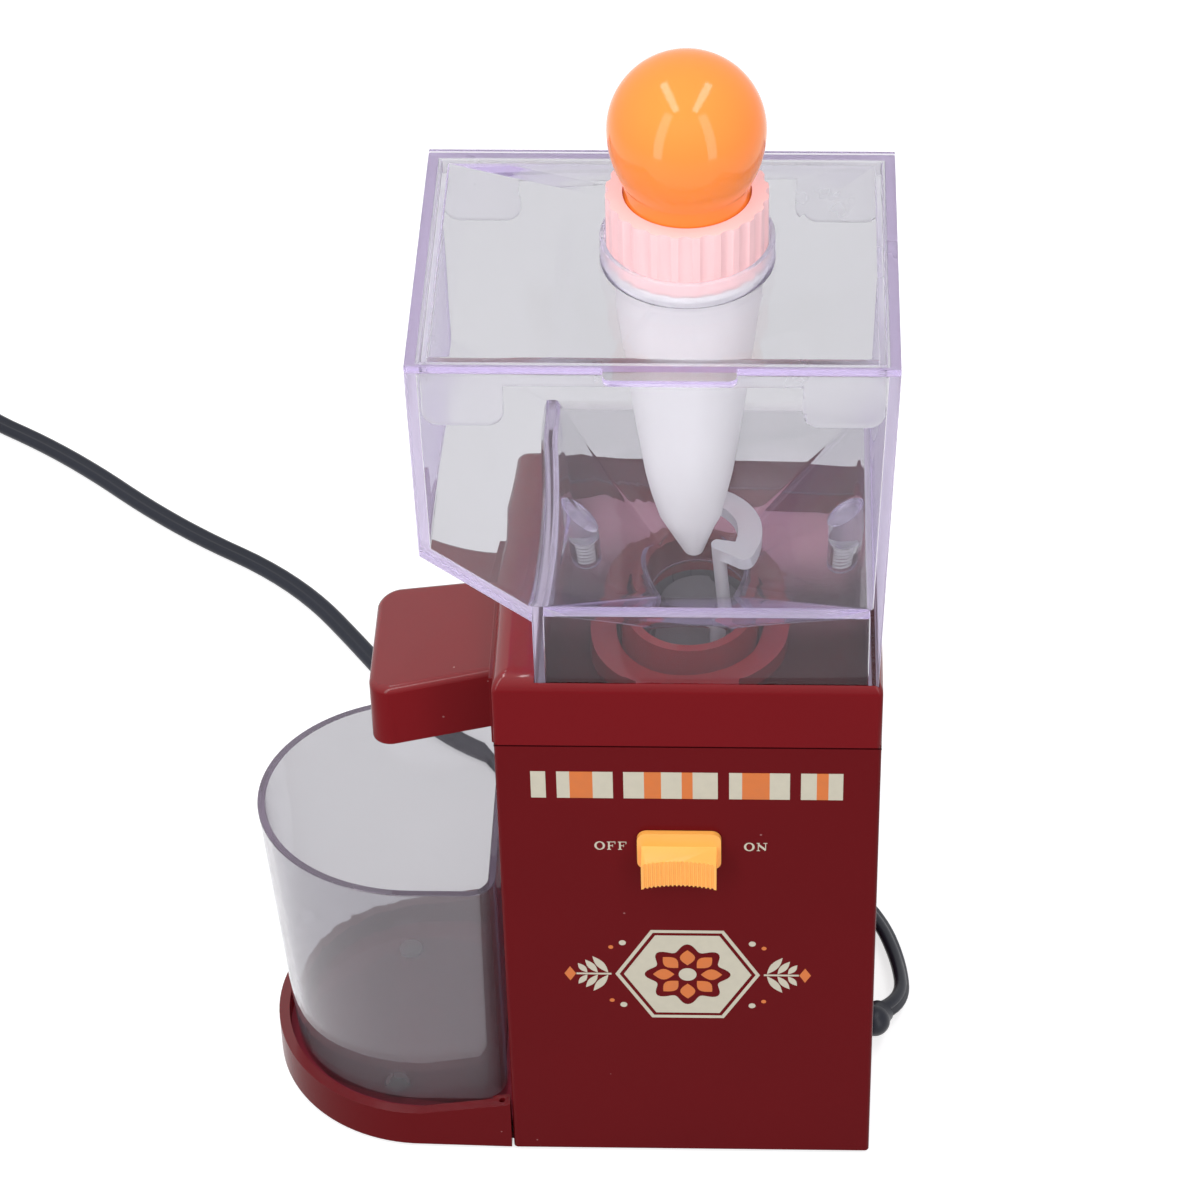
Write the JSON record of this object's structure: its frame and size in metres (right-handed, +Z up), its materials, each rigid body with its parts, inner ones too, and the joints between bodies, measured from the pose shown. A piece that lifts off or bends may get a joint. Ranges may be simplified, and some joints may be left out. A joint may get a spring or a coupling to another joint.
{
  "type": "nut butter grinder",
  "caption": "Countertop nut grinder: a motor and gear train turn a burr under a clear hopper with an oil dropper; paste leaves by a side spout into a clear cup.",
  "frame": {"origin": "on the ground under the middle of the machine's outline, the lead and its plug left out", "axes": "+X to the machine's right, +Y to its back, +Z up"},
  "size_m": [0.3972, 0.3775, 0.3198],
  "materials": {
    "housing_red": "moulded, semi-gloss dark red",
    "clear_plastic": "clear polystyrene with a faint violet edge",
    "frosted_plastic": "translucent white polypropylene",
    "ring_cream": "translucent pale pink plastic",
    "bulb_orange": "glossy soft orange",
    "slider_orange": "orange plastic",
    "hook_white": "milky white nylon",
    "burr_ceramic": "off-white ceramic",
    "chamber_red": "moulded dark red",
    "seal_rubber": "black rubber",
    "steel": "turned steel",
    "bronze": "sintered bronze",
    "gear_white": "natural acetal",
    "case_black": "black glass-filled nylon",
    "copper": "enamelled copper",
    "can_zinc": "zinc-plated sheet",
    "magnet_grey": "ferrite",
    "carbon": "carbon",
    "board_green": "laminate",
    "foot_rubber": "soft black rubber",
    "cord_black": "black vinyl",
    "plug_black": "black vinyl",
    "pin_brass": "nickel-plated brass"
  },
  "bodies": {
    "housing": {"lower_housing": "housing_red", "upper_housing": "housing_red", "hopper": "clear_plastic", "burr_ring": "burr_ceramic", "grinding_chamber": "chamber_red", "shaft_seal": "seal_rubber", "spout": "housing_red", "shaft_bush": "bronze", "thrust_washer": "gear_white", "gearbox_cover": "case_black", "gearbox_base": "case_black", "layshaft_pin": "steel", "motor_can": "can_zinc", "motor_magnets": "magnet_grey", "motor_end_cap": "case_black", "motor_brushes": "carbon", "motor_terminals": "pin_brass", "motor_screws": "steel", "motor_damper": "seal_rubber", "drive_screws": "steel", "housing_screws": "steel", "base_screws": "steel", "switch_body": "case_black", "switch_screws": "steel", "rectifier_board": "board_green", "base_tray": "housing_red", "rubber_feet": "foot_rubber", "cord_grommet": "cord_black", "inner_lead": "cord_black", "cord_clamp": "case_black", "cord": "cord_black", "cord_coil": "cord_black", "cord_tie": "seal_rubber", "cord_tail": "cord_black", "plug_body": "plug_black", "plug_pins": "pin_brass"},
    "lid": {"lid": "clear_plastic"},
    "dropper": {"dropper_cone": "frosted_plastic"},
    "bulb": {"dropper_bulb": "bulb_orange"},
    "ring": {"dropper_ring": "ring_cream"},
    "cup": {"cup": "clear_plastic"},
    "slider": {"switch_slider": "slider_orange", "switch_lever": "case_black"},
    "layshaft": {"layshaft_gear": "gear_white"},
    "grinder": {"burr_rotor": "burr_ceramic", "agitator": "hook_white", "output_shaft": "steel", "output_gear": "gear_white"},
    "motor_rotor": {"motor_shaft": "steel", "armature_core": "can_zinc", "armature_coils": "copper", "commutator": "copper", "motor_pinion": "bronze"}
  },
  "joints": [
    {"name": "lid_lift", "type": "slide", "parent": "housing", "child": "lid", "axis": [0, 0, 1], "range_m": [0, 0.03]},
    {"name": "dropper_lift", "type": "slide", "parent": "lid", "child": "dropper", "axis": [0, 0, 1], "range_m": [0, 0.1]},
    {"name": "ring_turn", "type": "hinge", "parent": "bulb", "child": "ring", "pos_m": [0.03235, 0.00305, 0.275], "axis": [0, 0, 1], "range_deg": [0, 540]},
    {"name": "bulb_rise", "type": "slide", "parent": "dropper", "child": "bulb", "axis": [0, 0, 1], "range_m": [0, 0.0045]},
    {"name": "cup_lift", "type": "slide", "parent": "housing", "child": "cup", "axis": [0, 0, 1], "range_m": [0, 0.03]},
    {"name": "switch_slide", "type": "slide", "parent": "housing", "child": "slider", "axis": [1, 0, 0], "range_m": [0, 0.004]},
    {"name": "grinder_spin", "type": "hinge", "parent": "housing", "child": "grinder", "pos_m": [0.03235, 0.00305, 0.1125], "axis": [0, 0, 1], "continuous": true},
    {"name": "layshaft_spin", "type": "hinge", "parent": "housing", "child": "layshaft", "pos_m": [0.05235, 0.00305, 0.107], "axis": [0, 0, 1], "continuous": true},
    {"name": "motor_spin", "type": "hinge", "parent": "housing", "child": "motor_rotor", "pos_m": [0.03235, 0.00305, 0.066], "axis": [0, 0, 1], "continuous": true}
  ],
  "couplings": [
    {"joint": "ring_turn", "follows": "bulb_rise", "rad_per_m": 2094.4},
    {"joint": "layshaft_spin", "follows": "motor_spin", "ratio": -0.31579},
    {"joint": "grinder_spin", "follows": "motor_spin", "ratio": 0.13534}
  ]
}
